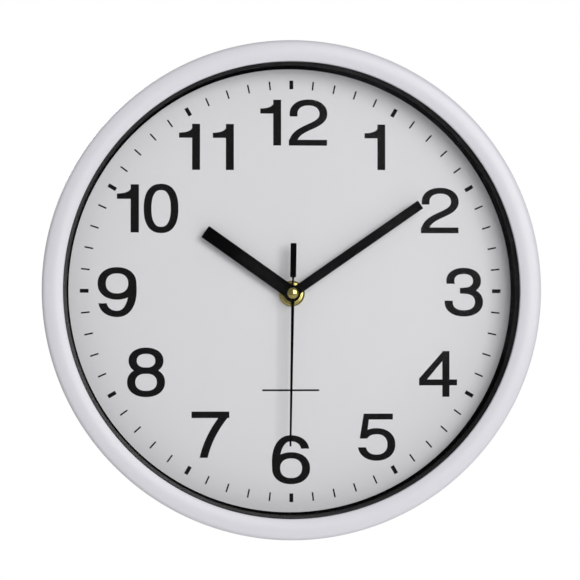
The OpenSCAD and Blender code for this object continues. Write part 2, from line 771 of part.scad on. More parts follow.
module minute_wheel() on_shaft() color("white") translate(minute_xy) difference() {
    union() {
        rotate([0, 0, minute_turn]) gear_wheel(minute_teeth, work_m, minute_z, minute_z + motion_t);
        rotate([0, 0, mesh_turn(minute_at, 0, hour_teeth, minute_pinion_teeth)])
            pinion(minute_pinion_teeth, hour_m, minute_z, mv_roof - 0.2);
    }
    disc(minute_post_r + run_gap, minute_z - 1, mv_roof, $fn = 48);
}

module hour_wheel() on_shaft() color("white") difference() {
    union() {
        gear_wheel(hour_teeth, hour_m, hour_z, hour_z + motion_t);
        disc(hour_pipe_r, hour_z, hour_pipe_top);
    }
    disc(minute_pipe_r + run_gap, hour_z - 1, hour_pipe_top + 1);
}

module setting_knob() on_shaft() color("slategray") translate(knob_xy) {
    difference() {
        disc(knob_r, knob_z, knob_z + knob_h);
        for (i = [0:knob_notches - 1]) rotate([0, 0, i * 360 / knob_notches])
            translate([knob_r + 0.2, 0, 0]) disc(knob_notch_r, knob_z - 1, knob_z + knob_h + 1, $fn = 16);
    }
    disc(knob_shaft_r, knob_z, minute_z - pinion_over, $fn = 48);
    rotate([0, 0, mesh_turn(knob_at, minute_turn, minute_teeth, knob_teeth)])
        pinion(knob_teeth, work_m, minute_z - pinion_over - eps, minute_z + motion_t + pinion_over);
    disc(knob_pivot_r, minute_z, mv_roof - 0.6, $fn = 32);
}

// ---- Hands ----

hour_angle = (hour_shown + minutes_shown / 60) * 30 + hour_hand_lead;
minute_angle = minutes_shown * 6;
second_angle = seconds_shown * 6;

// A flat bar with a round hub and a short collar that grips the pipe
module bar_hand(length, width, pipe_r, z) difference() {
    union() {
        block([-width / 2, width / 2], [0, length], [z, z + hand_t]);
        disc(hub_r, z, z + hand_t);
        disc(pipe_r + collar_t, z - collar_h, z);
    }
    disc(pipe_r, z - 2, z + 2);
}

module hour_hand() on_shaft() color("black") clockwise(hour_angle)
    bar_hand(hour_hand_l, hour_hand_w, hour_pipe_r, hour_pipe_top - pipe_show - hand_t);

module minute_hand() on_shaft() color("black") clockwise(minute_angle)
    bar_hand(minute_hand_l, minute_hand_w, minute_pipe_r, minute_pipe_top - pipe_show - hand_t);

second_z = seconds_top - hand_t;

module second_hand() on_shaft() color("black") clockwise(second_angle) difference() {
    union() {
        translate([0, 0, second_z]) linear_extrude(height = hand_t) {
            polygon([
                [-second_root_w / 2, 0],
                [second_root_w / 2, 0],
                [second_tip_w / 2, second_hand_l],
                [-second_tip_w / 2, second_hand_l]
            ]);
            circle(r = hub_r, $fn = 64);
            translate([-tail_neck_w / 2, -second_tail_l]) square([tail_neck_w, second_tail_l]);
            translate([-counterweight_w / 2, -second_tail_l]) square([counterweight_w, counterweight_l]);
        }
        disc(second_collar_r, second_z - collar_h, second_z + eps, $fn = 48);
    }
    disc(seconds_r, second_z - 2, second_z + hand_t + 1, $fn = 32);
}

// Domed brass cap over the end of the second hand's shaft
module second_hand_cap() on_shaft() color("gold") intersection() {
    disc(cap_r, seconds_top, seconds_top + cap_h);
    translate([0, 0, seconds_top + cap_h - cap_dome_r]) sphere(r = cap_dome_r);
}

case_ring();
lens();
spacer_ring();
dial();
back_plate();
case_screws();
hanger_plate();
hanger_screws();
movement_case();
movement_cover();
middle_plate();
train_bridge();
threaded_sleeve();
rubber_washer();
brass_washer();
sleeve_nut();
coil_bobbin();
coil_winding();
coil_core();
stator();
stator_screws();
circuit_board();
clock_chip();
quartz_crystal();
contact_positive();
contact_negative();
rotor_magnet();
rotor_pinion();
intermediate_wheel();
seconds_wheel();
seconds_shaft();
third_wheel();
centre_wheel();
minute_wheel();
hour_wheel();
setting_knob();
hour_hand();
minute_hand();
second_hand();
second_hand_cap();
battery();
battery_sleeve();
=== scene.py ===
"""Looks of the round quartz wall clock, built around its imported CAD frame.

Shapes are written as if the clock lay on its back, as in the CAD source: x points to three o'clock, y to
twelve o'clock, and h is the height off the wall, all in millimetres. upright() turns such a point into the
row frame.
"""

import json
from math import atan2, cos, degrees, radians, sin, sqrt, tan

import bmesh
import bpy
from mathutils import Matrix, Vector
from mathutils.geometry import delaunay_2d_cdt


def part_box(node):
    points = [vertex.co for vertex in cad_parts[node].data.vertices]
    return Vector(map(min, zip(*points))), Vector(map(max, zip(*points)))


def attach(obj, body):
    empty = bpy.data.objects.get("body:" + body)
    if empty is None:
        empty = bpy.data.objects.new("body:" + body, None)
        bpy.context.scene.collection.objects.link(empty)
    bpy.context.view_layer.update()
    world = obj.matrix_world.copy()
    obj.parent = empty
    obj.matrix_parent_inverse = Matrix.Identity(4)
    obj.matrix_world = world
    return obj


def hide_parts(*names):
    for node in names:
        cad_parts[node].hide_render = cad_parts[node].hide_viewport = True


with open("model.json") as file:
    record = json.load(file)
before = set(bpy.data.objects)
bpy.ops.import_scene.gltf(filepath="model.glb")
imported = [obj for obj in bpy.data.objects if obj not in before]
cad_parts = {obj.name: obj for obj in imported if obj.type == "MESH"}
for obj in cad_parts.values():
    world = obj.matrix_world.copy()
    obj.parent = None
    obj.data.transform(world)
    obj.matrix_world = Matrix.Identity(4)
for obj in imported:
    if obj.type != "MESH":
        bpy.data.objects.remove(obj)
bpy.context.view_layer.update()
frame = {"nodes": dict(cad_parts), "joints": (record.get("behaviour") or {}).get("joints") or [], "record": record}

MM = 0.001


# ---- Places that the frame gives ----


def reach(node):
    """Lowest and highest x, y and h of a CAD node, in mm."""
    lo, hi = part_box(node)
    return (lo.x / MM, hi.x / MM), (lo.z / MM, hi.z / MM), (-hi.y / MM, -lo.y / MM)


def middle(pair):
    return (pair[0] + pair[1]) / 2


def radius_of(node):
    return (reach(node)[0][1] - reach(node)[0][0]) / 2


def joint_xy(name):
    """Where a hinge's axis stands on the dial, in mm."""
    found = next(j for j in frame["joints"] if j["name"] == name)
    return found["pos_m"][0] / MM, found["pos_m"][2] / MM


CASE_R = radius_of("case_ring")
CASE_DEPTH = reach("case_ring")[2][1]
PACK_R = radius_of("lens")
LENS_BACK, LENS_FRONT = reach("lens")[2]
PLATE_FRONT, DIAL_FRONT = reach("dial")[2]
SHAFT = joint_xy("seconds_turn")

# Sizes of the case, as part.scad states them
RIM_W = 10.6
SKIRT_T = 2.0
SKIRT_TAPER = 1.2
DOME_R = 14.0
CORNER_R = 2.5
EDGE_R = 0.5
POST_R = 2.7
POST_COUNT = 6
SCREW_HOLE_R = 1.25
SCREW_L = 12.0
SEAT_RIB_T = 1.2
SEAT_RIB_H = 3.3
SPACER_IN = 112.7
SPACER_WALL = 1.5
SPACER_TAPER = 0.4
SPACER_BEVEL_H = 0.4
SPACER_FLANGE_T = 2.0
OPENING_R = CASE_R - RIM_W
RIM_MID = (CASE_R + OPENING_R) / 2
SKIRT_IN = CASE_R - SKIRT_TAPER - SKIRT_T
POST_RING = SKIRT_IN - POST_R + 0.1
SHAFT_HOLE_R = 4.2


# ---- Mesh tools ----


def upright(x, y, h):
    return Vector((x, -h, y)) * MM


def spoke(r, a):
    """The point at distance r and angle a, in degrees from three o'clock."""
    return r * cos(radians(a)), r * sin(radians(a))


def arc(cx, cy, r, a0, a1, steps):
    turn = [a0 + (a1 - a0) * i / steps for i in range(steps + 1)]
    return [(cx + spoke(r, a)[0], cy + spoke(r, a)[1]) for a in turn]


def rounded(outline, radius, steps=3):
    """A closed outline with its corners rounded, as far as its sides allow."""
    out = []
    for i, corner in enumerate(outline):
        p = Vector(corner)
        before = Vector(outline[i - 1]) - p
        after = Vector(outline[(i + 1) % len(outline)]) - p
        angle = before.angle(after)
        if angle > radians(160):
            out.append(tuple(p))
            continue
        cut = min(radius / tan(angle / 2), 0.45 * before.length, 0.45 * after.length)
        start, end = p + before.normalized() * cut, p + after.normalized() * cut
        for s in range(steps + 1):
            t = s / steps
            out.append(tuple(start.lerp(p, t).lerp(p.lerp(end, t), t)))
    return out


def piece(name, bm, body, material, replaces=(), sharp=32):
    """Finishes a bmesh in lying millimetres as an object that rides on a body."""
    bmesh.ops.remove_doubles(bm, verts=bm.verts, dist=1e-4)
    bmesh.ops.recalc_face_normals(bm, faces=bm.faces)
    for v in bm.verts:
        v.co = upright(*v.co)
    mesh = bpy.data.meshes.new(name)
    bm.to_mesh(mesh)
    bm.free()
    mesh.shade_smooth()
    mesh.set_sharp_from_angle(angle=radians(sharp))
    mesh.materials.append(material)
    obj = bpy.data.objects.new(name, mesh)
    bpy.context.scene.collection.objects.link(obj)
    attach(obj, body)
    if replaces:
        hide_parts(*replaces)
    return obj


def add_lathe(bm, profile, centre=(0, 0), segments=96):
    """Adds the closed profile of (r, h) points, turned about the shaft direction."""
    rings = []
    for k in range(segments):
        c, s = spoke(1, 360 * k / segments)
        rings.append([bm.verts.new((centre[0] + r * c, centre[1] + r * s, h)) for r, h in profile])
    for k in range(segments):
        one, two = rings[k], rings[(k + 1) % segments]
        for i in range(len(profile)):
            j = (i + 1) % len(profile)
            if profile[i][0] < 1e-6 and profile[j][0] < 1e-6:
                continue
            corners = [one[i], two[i], two[j], one[j]]
            if profile[i][0] < 1e-6:
                corners = [one[i], two[j], one[j]]
            elif profile[j][0] < 1e-6:
                corners = [one[i], two[i], one[j]]
            bm.faces.new(corners)


def lathe(profile, centre=(0, 0), segments=96):
    bm = bmesh.new()
    add_lathe(bm, profile, centre, segments)
    return bm


def add_slab(bm, polygons, h0, h1, holes=()):
    """Adds the union of flat polygons, less the holes, as one plate between two heights."""
    outlines = [*polygons, *holes]
    points = [Vector(p) for polygon in outlines for p in polygon]
    faces, start = [], 0
    for polygon in outlines:
        area = sum(a[0] * b[1] - b[0] * a[1] for a, b in zip(polygon, polygon[1:] + polygon[:1]))
        run = list(range(start, start + len(polygon)))
        faces.append(run if area > 0 else run[::-1])
        start += len(polygon)
    flat, _, cells, _, _, sources = delaunay_2d_cdt(points, [], faces, 0, 1e-5)
    inside = [cell for cell, source in zip(cells, sources) if source and max(source) < len(polygons)]
    low = {i: bm.verts.new((*flat[i], h0)) for i in sorted({i for cell in inside for i in cell})}
    high = {i: bm.verts.new((*flat[i], h1)) for i in low}
    edges = {(cell[k], cell[(k + 1) % len(cell)]) for cell in inside for k in range(len(cell))}
    for cell in inside:
        bm.faces.new([high[i] for i in cell])
        bm.faces.new([low[i] for i in reversed(cell)])
    for a, b in sorted(edges):
        if (b, a) not in edges:
            bm.faces.new([low[a], low[b], high[b], high[a]])


def slab(polygons, h0, h1, holes=()):
    bm = bmesh.new()
    add_slab(bm, polygons, h0, h1, holes)
    return bm


def bevel(obj, width, segments=2, angle=40):
    modifier = obj.modifiers.new("edges", "BEVEL")
    modifier.width = width * MM
    modifier.segments = segments
    modifier.limit_method = "ANGLE"
    modifier.angle_limit = radians(angle)
    modifier.harden_normals = True
    return obj


def paint(obj, material, where):
    """Gives another material to the faces whose middle, as (x, y, h), passes a test."""
    obj.data.materials.append(material)
    for face in obj.data.polygons:
        x, y, z = face.center / MM
        if where(x, z, -y):
            face.material_index = len(obj.data.materials) - 1


def disc(centre, r, steps=64):
    return [(centre[0] + x, centre[1] + y) for x, y in (spoke(r, 360 * i / steps) for i in range(steps))]


def box(x0, x1, y0, y1):
    return [(x0, y0), (x1, y0), (x1, y1), (x0, y1)]


def clockwise(points, angle, centre=(0, 0)):
    """Points turned clockwise by an angle in degrees, and then moved to a centre."""
    c, s = cos(radians(angle)), sin(radians(angle))
    return [(centre[0] + x * c + y * s, centre[1] - x * s + y * c) for x, y in points]


# ---- Materials ----


def add(tree, kind, inputs=None, **settings):
    """Adds a node, with its settings, values and links."""
    made = tree.nodes.new(kind)
    for key, value in settings.items():
        setattr(made, key, value)
    for key, value in (inputs or {}).items():
        if isinstance(value, bpy.types.NodeSocket):
            tree.links.new(value, made.inputs[key])
        else:
            made.inputs[key].default_value = value
    return made


def linear(rgb):
    """A colour as it looks on a screen, from 0 to 255, in linear light."""
    scaled = [c / 255 for c in rgb]
    return tuple(c / 12.92 if c <= 0.04045 else ((c + 0.055) / 1.055) ** 2.4 for c in scaled) + (1.0,)


def shaded(colour, factor):
    return tuple(min(1.0, c * factor) for c in colour[:3]) + (1.0,)


def turned_rings(tree, place, centre):
    """Fine concentric lines round a point of the dial, as a lathe leaves them."""
    x, y = centre
    moved = add(tree, "ShaderNodeVectorMath", {0: place, 1: (-x * MM, 0, -y * MM)}, operation="ADD")
    flat = add(tree, "ShaderNodeVectorMath", {0: moved.outputs[0], 1: (1, 0, 1)}, operation="MULTIPLY")
    distance = add(tree, "ShaderNodeVectorMath", {0: flat.outputs[0]}, operation="LENGTH")
    along = add(tree, "ShaderNodeCombineXYZ", {"X": distance.outputs["Value"]})
    return along.outputs[0]


def finish(name, colour, roughness, mottle=0.03, mottle_scale=40, grain=900, relief=0.1, relief_depth=0.02,
           spread=0.08, stretch=(1, 1, 1), rings=None, pattern=None, **sockets):
    """A Principled material whose colour, roughness and relief all come from noise at the piece's own scale.

    grain is in features a metre, relief_depth in mm, and spread is how far the roughness wanders.
    pattern, if given, turns the material's tree and place into a colour socket.
    """
    material = bpy.data.materials.new(name)
    material.use_nodes = True
    tree = material.node_tree
    shader = tree.nodes["Principled BSDF"]
    place = add(tree, "ShaderNodeTexCoord").outputs["Object"]
    colour = linear(colour)
    broad = add(tree, "ShaderNodeTexNoise", {"Vector": place, "Scale": mottle_scale, "Detail": 3.0})
    if pattern:
        base = pattern(tree, place)
    else:
        base = add(tree, "ShaderNodeMix", {"Factor": broad.outputs["Fac"], "A": shaded(colour, 1 - mottle),
                                           "B": shaded(colour, 1 + mottle)},
                   data_type="RGBA").outputs["Result"]
    tree.links.new(base, shader.inputs["Base Color"])
    fine_place = turned_rings(tree, place, rings) if rings else add(
        tree, "ShaderNodeVectorMath", {0: place, 1: stretch}, operation="MULTIPLY").outputs[0]
    fine = add(tree, "ShaderNodeTexNoise", {"Vector": fine_place, "Scale": grain, "Detail": 4.0})
    rough = add(tree, "ShaderNodeMapRange", {"Value": fine.outputs["Fac"], "From Min": 0.3, "From Max": 0.7,
                                             "To Min": max(0.02, roughness - spread),
                                             "To Max": min(1.0, roughness + spread)})
    tree.links.new(rough.outputs["Result"], shader.inputs["Roughness"])
    bump = add(tree, "ShaderNodeBump", {"Height": fine.outputs["Fac"], "Strength": relief,
                                        "Distance": relief_depth * MM})
    tree.links.new(bump.outputs["Normal"], shader.inputs["Normal"])
    for key, value in sockets.items():
        shader.inputs[key.replace("_", " ")].default_value = value
    return material


def bands(axis, low, high, stops):
    """A pattern of plain bands along one axis, between two places in mm. Stops are (share, colour)."""
    def colour(tree, place):
        split = add(tree, "ShaderNodeSeparateXYZ", {0: place})
        share = add(tree, "ShaderNodeMapRange", {"Value": split.outputs[axis], "From Min": low * MM,
                                                 "From Max": high * MM})
        ramp = add(tree, "ShaderNodeValToRGB", {"Fac": share.outputs["Result"]})
        ramp.color_ramp.interpolation = "CONSTANT"
        for _ in stops[2:]:
            ramp.color_ramp.elements.new(0.5)
        for element, (position, rgb) in zip(ramp.color_ramp.elements, stops):
            element.position = position
            element.color = linear(rgb)
        return ramp.outputs["Color"]
    return colour


def windings(tree, place):
    """Bands of copper wire, laid side by side along the coil. The colour swings from dark to bright copper across
    each band: painted shade in the grooves between turns and a painted highlight along each turn.
    """
    wave = add(tree, "ShaderNodeTexWave", {"Vector": place, "Scale": 1500.0, "Distortion": 0.4},
               bands_direction="X")
    # painted shade and highlight: dark copper (120, 50, 20) in the grooves, bright copper (215, 120, 60) along the
    # turns
    mix = add(tree, "ShaderNodeMix", {"Factor": wave.outputs["Fac"], "A": linear((120, 50, 20)),
                                      "B": linear((215, 120, 60))}, data_type="RGBA")
    return mix.outputs["Result"]


def tracks(tree, place):
    """Copper tracks that show through the green lacquer of a circuit board."""
    cells = add(tree, "ShaderNodeTexVoronoi", {"Vector": place, "Scale": 520.0}, feature="DISTANCE_TO_EDGE")
    ramp = add(tree, "ShaderNodeValToRGB", {"Fac": cells.outputs["Distance"]})
    ramp.color_ramp.elements[0].position = 0.08
    ramp.color_ramp.elements[0].color = linear((70, 140, 70))
    ramp.color_ramp.elements[1].position = 0.12
    ramp.color_ramp.elements[1].color = linear((20, 84, 45))
    return ramp.outputs["Color"]


battery_x = reach("battery_sleeve")[0]
LOOKS = {
    "case_white": finish("case_white", (226, 226, 231), 0.36, 0.006, 25, 2600, 0.1, 0.01, 0.05,
                         Coat_Weight=0.1, Coat_Roughness=0.15, Specular_IOR_Level=0.4),
    "lens_clear": finish("lens_clear", (22, 24, 24), 0.07, 0.1, 30, 600, 0.03, 0.004, 0.02,
                         Alpha=0.04, Specular_IOR_Level=0.4),
    "spacer_black": finish("spacer_black", (6, 6, 6), 0.75, 0.2, 60, 3200, 0.3, 0.02, 0.1,
                           Specular_IOR_Level=0.0),
    "dial_white": finish("dial_white", (243, 243, 245), 0.62, 0.006, 18, 5200, 0.12, 0.008, 0.08),
    "back_white": finish("back_white", (232, 232, 230), 0.46, 0.02, 30, 2200, 0.25, 0.03, 0.1),
    "screw_steel": finish("screw_steel", (176, 176, 172), 0.3, 0.12, 300, 3200, 0.2, 0.02, 0.12,
                          Metallic=1.0),
    "hanger_steel": finish("hanger_steel", (196, 197, 196), 0.34, 0.05, 160, 2600, 0.15, 0.01, 0.06,
                           stretch=(0.12, 1, 1), Metallic=1.0),
    "movement_black": finish("movement_black", (27, 28, 30), 0.48, 0.15, 60, 3400, 0.45, 0.04, 0.12),
    "cover_black": finish("cover_black", (36, 37, 40), 0.5, 0.15, 60, 2600, 0.45, 0.04, 0.12),
    "natural_plastic": finish("natural_plastic", (226, 219, 196), 0.45, 0.04, 90, 2000, 0.2, 0.02, 0.1,
                              Subsurface_Weight=0.1, Subsurface_Scale=0.001),
    "brass": finish("brass", (186, 172, 104), 0.12, 0.06, 260, 5200, 0.25, 0.015, 0.07, rings=SHAFT,
                    Metallic=1.0),
    "rubber_black": finish("rubber_black", (22, 22, 22), 0.8, 0.2, 90, 1700, 0.6, 0.05, 0.12),
    # the wire's banded colour is painted shade and highlight across its turns, not a change in the copper itself
    "copper_wire": finish("copper_wire", (190, 100, 50), 0.3, 0.1, 200, 2500, 0.4, 0.04, 0.1,
                          pattern=windings, stretch=(1, 0.1, 0.1), Coat_Weight=0.6, Metallic=0.7),
    "core_steel": finish("core_steel", (150, 152, 156), 0.35, 0.1, 200, 2400, 0.25, 0.02, 0.12, Metallic=1.0),
    "board_green": finish("board_green", (20, 84, 45), 0.28, 0.1, 90, 1800, 0.2, 0.02, 0.08, pattern=tracks,
                          Coat_Weight=0.5),
    "chip_black": finish("chip_black", (16, 16, 17), 0.38, 0.2, 200, 1500, 0.4, 0.05, 0.12),
    "can_steel": finish("can_steel", (206, 206, 202), 0.24, 0.08, 200, 2600, 0.2, 0.02, 0.1, Metallic=1.0),
    "contact_steel": finish("contact_steel", (206, 208, 204), 0.26, 0.08, 220, 2400, 0.25, 0.02, 0.1,
                            stretch=(1, 1, 0.1), Metallic=1.0),
    "magnet": finish("magnet", (70, 70, 72), 0.4, 0.1, 160, 2200, 0.4, 0.03, 0.1, Metallic=0.6),
    "wheel_white": finish("wheel_white", (232, 230, 222), 0.42, 0.03, 120, 2600, 0.2, 0.02, 0.1,
                          Subsurface_Weight=0.1, Subsurface_Scale=0.001),
    "wheel_orange": finish("wheel_orange", (214, 120, 46), 0.42, 0.05, 120, 2600, 0.2, 0.02, 0.1),
    "shaft_steel": finish("shaft_steel", (190, 191, 193), 0.2, 0.05, 200, 4200, 0.2, 0.01, 0.08,
                          stretch=(1, 0.1, 1), Metallic=1.0),
    "knob_grey": finish("knob_grey", (118, 120, 122), 0.46, 0.06, 80, 2600, 0.35, 0.03, 0.1),
    "hand_black": finish("hand_black", (2, 2, 2), 0.42, 0.2, 60, 3800, 0.12, 0.008, 0.07,
                         Specular_IOR_Level=0.015),
    "battery_metal": finish("battery_metal", (204, 204, 200), 0.24, 0.06, 160, 1600, 0.25, 0.02, 0.1,
                            stretch=(1, 0.1, 0.1), Metallic=1.0),
    "battery_film": finish("battery_film", (30, 110, 70), 0.24, 0.1, 90, 700, 0.12, 0.02, 0.06,
                           pattern=bands("X", *battery_x, [(0.0, (24, 26, 28)), (0.66, (214, 214, 208)),
                                                           (0.68, (46, 128, 84)), (0.95, (214, 214, 208))]),
                           Coat_Weight=0.5, Coat_Roughness=0.1),
}
INK = finish("ink", (10, 10, 11), 0.6, 0.3, 80, 4200, 0.1, 0.006, 0.1, Specular_IOR_Level=0.12)
SPACER_FACE = finish("spacer_face", (8, 8, 9), 0.34, 0.2, 60, 3200, 0.16, 0.015, 0.06,
                     Specular_IOR_Level=0.28)


# ---- Case ----


def rim_profile():
    """Outline of the case ring: a drafted skirt, a softened corner, a domed front and the lens seat."""
    dome_h = CASE_DEPTH - DOME_R
    edge_h = dome_h + sqrt((DOME_R - EDGE_R) ** 2 - (RIM_MID - OPENING_R - EDGE_R) ** 2)
    corner_h = dome_h + sqrt((DOME_R - CORNER_R) ** 2 - (CASE_R - RIM_MID - CORNER_R) ** 2)
    corner_r, edge_r = CASE_R - CORNER_R, OPENING_R + EDGE_R
    dome_from = degrees(atan2(corner_h - dome_h, corner_r - RIM_MID))
    dome_to = degrees(atan2(edge_h - dome_h, edge_r - RIM_MID))
    rib_in = POST_RING - POST_R
    seat = rounded([
        (OPENING_R, LENS_FRONT), (rib_in, LENS_FRONT), (rib_in, LENS_FRONT - SEAT_RIB_H),
        (rib_in + SEAT_RIB_T, LENS_FRONT - SEAT_RIB_H), (rib_in + SEAT_RIB_T, LENS_FRONT),
        (SKIRT_IN, LENS_FRONT), (SKIRT_IN, 0), (SKIRT_IN + SKIRT_T, 0),
    ], 0.3)
    return (
        arc(corner_r, corner_h, CORNER_R, 0, dome_from, 10)
        + arc(RIM_MID, dome_h, DOME_R, dome_from, dome_to, 28)[1:]
        + arc(edge_r, edge_h, EDGE_R, dome_to, 180, 6)[1:]
        + seat
    )


def case_pieces():
    bm = lathe(rim_profile(), segments=480)
    post = rounded([
        (SCREW_HOLE_R, PLATE_FRONT), (POST_R, PLATE_FRONT), (POST_R, LENS_FRONT + 0.5), (0, LENS_FRONT + 0.5),
        (0, PLATE_FRONT + SCREW_L), (SCREW_HOLE_R, PLATE_FRONT + SCREW_L),
    ], 0.15)
    for i in range(POST_COUNT):
        add_lathe(bm, post, spoke(POST_RING, 30 + i * 360 / POST_COUNT), 32)
    piece("case_rim", bm, "root", LOOKS["case_white"], ["case_ring"], sharp=40)
    glass = rounded([(0, LENS_BACK), (PACK_R, LENS_BACK), (PACK_R, LENS_FRONT), (0, LENS_FRONT)], 0.25)
    piece("lens_disc", lathe(glass, segments=240), "root", LOOKS["lens_clear"], ["lens"])
    flange = LENS_BACK - SPACER_FLANGE_T
    spacer = rounded([
        (SPACER_IN - SPACER_TAPER, DIAL_FRONT), (PACK_R, DIAL_FRONT), (PACK_R, DIAL_FRONT + SPACER_WALL),
        (SPACER_IN + SPACER_WALL - SPACER_TAPER, DIAL_FRONT + SPACER_WALL), (SPACER_IN + SPACER_WALL, flange),
        (PACK_R, flange), (PACK_R, LENS_BACK), (SPACER_IN + SPACER_WALL, LENS_BACK),
        (SPACER_IN, LENS_BACK - SPACER_BEVEL_H),
    ], 0.2)
    ring = piece("spacer_black_ring", lathe(spacer, segments=480), "root", LOOKS["spacer_black"],
                 ["spacer_ring"])
    paint(ring, SPACER_FACE, lambda x, y, h: h > LENS_BACK - SPACER_BEVEL_H - 0.15)
    face = slab([disc((0, 0), PACK_R, 360)], PLATE_FRONT, DIAL_FRONT, [disc(SHAFT, SHAFT_HOLE_R)])
    piece("dial_disc", face, "root", LOOKS["dial_white"], ["dial"])


# ---- Back cover ----

PLATE_T = 2.0
PLATE_GAP = 0.3
RIB_T = 1.5
RIB_H = 4.0
RIB_COUNT = 12
RING_RIB_R = 108.0
POCKET_HALF = 28.5
POCKET_H = 8.0
HANG_BOX = (-11.5, 11.5, 79.0, 109.0)
HANG_WALL = 2.0
EAR_X = 15.0
EAR_BOSS_R = 2.6
EAR_HOLE_R = 1.05
EAR_HOLE_L = 10.8
SINK = 0.1


def shrunk(limits, by):
    x0, x1, y0, y1 = limits
    return x0 + by, x1 - by, y0 + by, y1 - by


def radial_rib(angle):
    """The outline of one radial rib, from the movement's pocket, or to the hanging box, to the ring rib."""
    ux, uy = spoke(1, angle)
    wall = POCKET_HALF + RIB_T / 2
    to_side = (SHAFT[0] + wall * (1 if ux > 0 else -1)) / ux if abs(ux) > 1e-6 else 1e9
    to_end = (SHAFT[1] + wall * (1 if uy > 0 else -1)) / uy if abs(uy) > 1e-6 else 1e9
    start = min(to_side, to_end)
    end = HANG_BOX[2] + HANG_WALL / 2 if angle == 90 else RING_RIB_R + RIB_T / 2
    return clockwise(box(-RIB_T / 2, RIB_T / 2, start, end), 90 - angle)


def back_cover():
    """The moulded back plate, with its ribs, the movement's pocket and the walls that carry the hanger."""
    back = PLATE_FRONT - PLATE_T
    hanger = reach("hanger_plate")[2][1]
    posts = [spoke(POST_RING, 30 + i * 360 / POST_COUNT) for i in range(POST_COUNT)]
    holes = [disc(post, SCREW_HOLE_R + PLATE_GAP, 32) for post in posts] + [disc(SHAFT, SHAFT_HOLE_R)]
    bm = slab([disc((0, 0), SKIRT_IN - PLATE_GAP, 360)], back, PLATE_FRONT, holes)
    ring = [(RING_RIB_R, back - RIB_H), (RING_RIB_R + RIB_T, back - RIB_H)]
    ring += [(RING_RIB_R + RIB_T, back + SINK), (RING_RIB_R, back + SINK)]
    add_lathe(bm, ring, segments=360)
    for i in range(RIB_COUNT):
        add_slab(bm, [radial_rib(i * 360 / RIB_COUNT)], back - RIB_H, back + SINK)
    pocket = (SHAFT[0] - POCKET_HALF, SHAFT[0] + POCKET_HALF, SHAFT[1] - POCKET_HALF, SHAFT[1] + POCKET_HALF)
    add_slab(bm, [rounded(box(*shrunk(pocket, -RIB_T)), 1.5)], back - POCKET_H, back + SINK, [box(*pocket)])
    add_slab(bm, [rounded(box(*HANG_BOX), 1.5)], hanger, back + SINK, [box(*shrunk(HANG_BOX, HANG_WALL))])
    boss = [(EAR_BOSS_R, hanger), (EAR_BOSS_R, back + SINK), (0, back + SINK), (0, hanger + EAR_HOLE_L),
            (EAR_HOLE_R, hanger + EAR_HOLE_L), (EAR_HOLE_R, hanger)]
    for side in (-1, 1):
        add_lathe(bm, boss, (side * EAR_X, (HANG_BOX[2] + HANG_BOX[3]) / 2), 48)
    bevel(piece("back_cover", bm, "root", LOOKS["back_white"], ["back_plate"]), 0.3)


# ---- Print on the dial ----

STEM = 1.87
THIN = 1.4
CAP = 23.0
BOWL = 2.2
INK_T = 0.04
INK_SPREAD = 0.13


def bow(cx, cy, rx, ry, a0, a1, power=BOWL, steps=40):
    """An arc of a slightly square ellipse, from angle a0 to a1 in degrees."""
    points = []
    for i in range(steps + 1):
        a = radians(a0 + (a1 - a0) * i / steps)
        c, s = cos(a), sin(a)
        points.append((cx + rx * abs(c) ** (2 / power) * (1 if c >= 0 else -1),
                       cy + ry * abs(s) ** (2 / power) * (1 if s >= 0 else -1)))
    return points


def curve(p0, p1, p2, p3, steps=24):
    """A cubic curve through p0 and p3."""
    points = []
    for i in range(steps + 1):
        t = i / steps
        k = ((1 - t) ** 3, 3 * t * (1 - t) ** 2, 3 * t * t * (1 - t), t ** 3)
        points.append(tuple(sum(w * p[axis] for w, p in zip(k, (p0, p1, p2, p3))) for axis in (0, 1)))
    return points


def clipped(polygon, low, high):
    """The part of a polygon between two heights on the y axis."""
    for limit, sign in ((low, 1), (high, -1)):
        kept = []
        for a, b in zip(polygon, polygon[1:] + polygon[:1]):
            da, db = sign * (a[1] - limit), sign * (b[1] - limit)
            if da >= 0:
                kept.append(a)
            if da * db < 0:
                t = da / (da - db)
                kept.append((a[0] + (b[0] - a[0]) * t, a[1] + (b[1] - a[1]) * t))
        polygon = kept
        if len(polygon) < 3:
            return []
    return polygon


def pen(line, low=-9.0, high=99.0, stem=STEM, thin=THIN):
    """The polygons that an elliptical pen draws along a line, kept between two heights."""
    sides = []
    for i, (x, y) in enumerate(line):
        ax, ay = line[max(i - 1, 0)]
        bx, by = line[min(i + 1, len(line) - 1)]
        nx, ny = by - ay, ax - bx
        size = sqrt((stem * nx) ** 2 + (thin * ny) ** 2)
        dx, dy = stem * stem * nx / size, thin * thin * ny / size
        sides.append(((x + dx, y + dy), (x - dx, y - dy)))
    quads = [[a[0], b[0], b[1], a[1]] for a, b in zip(sides, sides[1:])]
    return [q for q in (clipped(q, low, high) for q in quads) if q]


def six():
    return (
        pen(bow(9.43, 7.34, 7.39, 6.35, 0, 360, steps=80))
        + pen(bow(9.2, 10.5, 7.28, 11.57, 90, 180) + [(1.95, 9.0), (2.04, 7.34)])
        + pen(bow(9.16, 15.7, 7.3, 6.4, 90, 0), low=17.05)
    )


def grown(polygon, spread):
    """A polygon with its sides moved outwards, as ink spreads in print."""
    area = sum(a[0] * b[1] - b[0] * a[1] for a, b in zip(polygon, polygon[1:] + polygon[:1]))
    line = polygon if area > 0 else polygon[::-1]
    line = [p for p, q in zip(line, line[1:] + line[:1]) if (Vector(p) - Vector(q)).length > 1e-3]
    out = []
    for i, p in enumerate(line):
        before = (Vector(p) - Vector(line[i - 1])).normalized()
        after = (Vector(line[(i + 1) % len(line)]) - Vector(p)).normalized()
        n0, n1 = Vector((before.y, -before.x)), Vector((after.y, -after.x))
        out.append(tuple(Vector(p) + (n0 + n1) * spread / max(1 + n0.dot(n1), 0.5)))
    return out


def half_turned(polygons, width, height):
    return [[(width - x, height - y) for x, y in polygon] for polygon in polygons]


